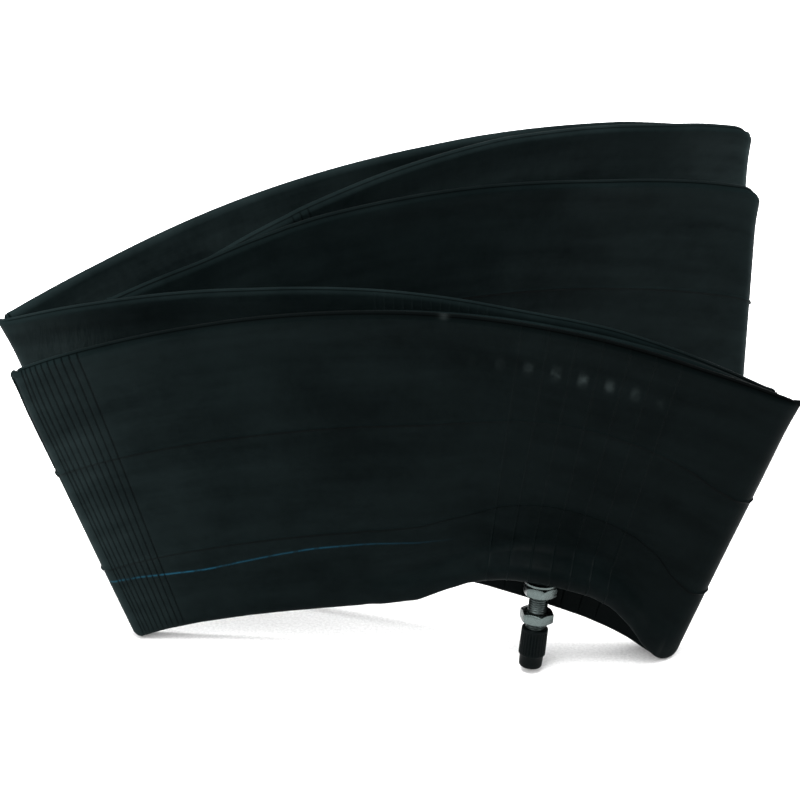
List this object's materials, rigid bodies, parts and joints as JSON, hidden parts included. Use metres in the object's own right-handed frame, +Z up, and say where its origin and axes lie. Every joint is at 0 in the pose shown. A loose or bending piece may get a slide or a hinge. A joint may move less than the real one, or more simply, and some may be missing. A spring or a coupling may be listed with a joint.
{
  "type": "inner tube",
  "caption": "Folded rubber inner tube for a motorcycle wheel, with a clamp-in metal valve, nuts and a dust cap.",
  "frame": {"origin": "middle of the folded tube's bounding box, on the surface it stands on", "axes": "+X along the folded layers, +Y from the valve's side to the back of the fan, +Z up"},
  "size_m": [0.3114, 0.2068, 0.1545],
  "materials": {
    "tube_rubber": "satin",
    "pad_rubber": "satin",
    "seal_rubber": "matte",
    "plated_brass": "satin",
    "bare_brass": "satin",
    "cap_plastic": "satin",
    "spring_steel": "satin"
  },
  "bodies": {
    "tube": {"inner_tube": "tube_rubber", "base_patch": "pad_rubber", "valve_stem": "plated_brass", "clamp_washer": "plated_brass", "core_plug": "bare_brass", "core_barrel": "bare_brass", "core_gasket": "seal_rubber", "core_spring": "spring_steel"},
    "clamp_nut": {"clamp_nut": "plated_brass"},
    "rim_nut": {"rim_nut": "plated_brass"},
    "cap": {"dust_cap": "cap_plastic"},
    "pin": {"core_pin": "bare_brass", "core_cup": "bare_brass", "core_cup_seal": "seal_rubber"}
  },
  "joints": [
    {"name": "clamp_nut_turn", "type": "hinge", "parent": "tube", "child": "clamp_nut", "pos_m": [0.05568, -0.09441, 0.03436], "axis": [-0.1121, -0.1383, -0.984], "continuous": true},
    {"name": "rim_nut_run", "type": "slide", "parent": "tube", "child": "rim_nut", "axis": [-0.1121, -0.1383, -0.984], "range_m": [-0.0067, 0.0024]},
    {"name": "cap_pull", "type": "slide", "parent": "tube", "child": "cap", "axis": [-0.1121, -0.1383, -0.984], "range_m": [0, 0.03]},
    {"name": "pin_press", "type": "slide", "parent": "tube", "child": "pin", "axis": [0.1121, 0.1383, 0.984], "range_m": [0, 0.0012], "stiffness_N_per_m": 400, "deforming": ["core_spring"]}
  ]
}
